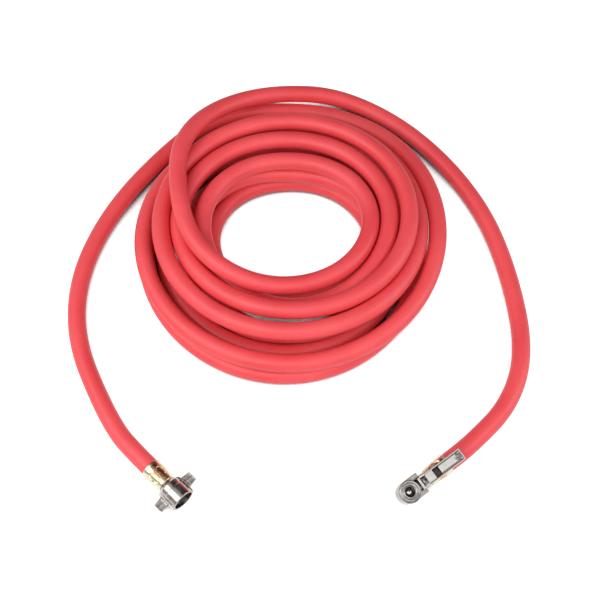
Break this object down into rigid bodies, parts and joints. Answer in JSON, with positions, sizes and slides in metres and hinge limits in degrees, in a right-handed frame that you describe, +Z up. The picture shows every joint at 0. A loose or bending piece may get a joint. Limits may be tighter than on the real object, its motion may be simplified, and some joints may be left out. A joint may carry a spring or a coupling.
{
  "type": "coiled air hose",
  "caption": "Coiled rubber tyre inflation hose with a wing nut coupling on one end and a clip-on lever chuck on the other.",
  "frame": {"origin": "on the floor under the middle of the bounding box", "axes": "+Z up from the floor the hose lies on, +Y away from the two fittings, +X from the wing nut towards the chuck"},
  "size_m": [0.483, 0.4998, 0.078],
  "materials": {
    "red_rubber": "satin",
    "black_rubber": "matte",
    "yellow_zinc_steel": "yellow-passivated zinc plating, satin",
    "bright_die_cast": "nickel-plated die casting",
    "bright_plated_steel": "bright nickel-plated sheet steel",
    "turned_steel": "turned and nickel-plated",
    "spring_steel": "plain"
  },
  "bodies": {
    "hose_line": {"hose_coil": "red_rubber", "hose_nut_tail": "red_rubber", "hose_chuck_tail": "red_rubber", "nut_ferrule": "yellow_zinc_steel", "nut_stem": "turned_steel", "nut_seal_ring": "black_rubber", "chuck_ferrule": "yellow_zinc_steel", "chuck_body": "bright_die_cast", "seal_cap": "turned_steel", "valve_washer": "black_rubber", "poppet_spring": "spring_steel", "poppet_carrier": "turned_steel", "lever_pin": "turned_steel", "lever_spring": "spring_steel"},
    "wing_nut": {"wing_nut": "bright_die_cast"},
    "lever": {"clip_lever": "bright_plated_steel", "clip_claw": "spring_steel", "lever_rivet": "bright_plated_steel"},
    "poppet": {"valve_poppet": "turned_steel", "poppet_seal": "black_rubber"}
  },
  "joints": [
    {"name": "wing_nut_spin", "type": "hinge", "parent": "hose_line", "child": "wing_nut", "pos_m": [-0.14265, -0.20523, 0.0126], "axis": [0.7193, -0.6947, 0], "continuous": true},
    {"name": "lever_press", "type": "hinge", "parent": "hose_line", "child": "lever", "pos_m": [0.11723, -0.22231, 0.01221], "axis": [-0.588, 0.7718, 0.2419], "range_deg": [0, 10], "stiffness_Nm_per_rad": 0.6, "springref_deg": -17.19, "deforming": ["lever_spring"]},
    {"name": "poppet_travel", "type": "slide", "parent": "hose_line", "child": "poppet", "axis": [0.1466, -0.1924, 0.9703], "range_m": [-0.0015, 0], "stiffness_N_per_m": 800, "springref_m": 0.002, "deforming": ["poppet_spring"]}
  ]
}
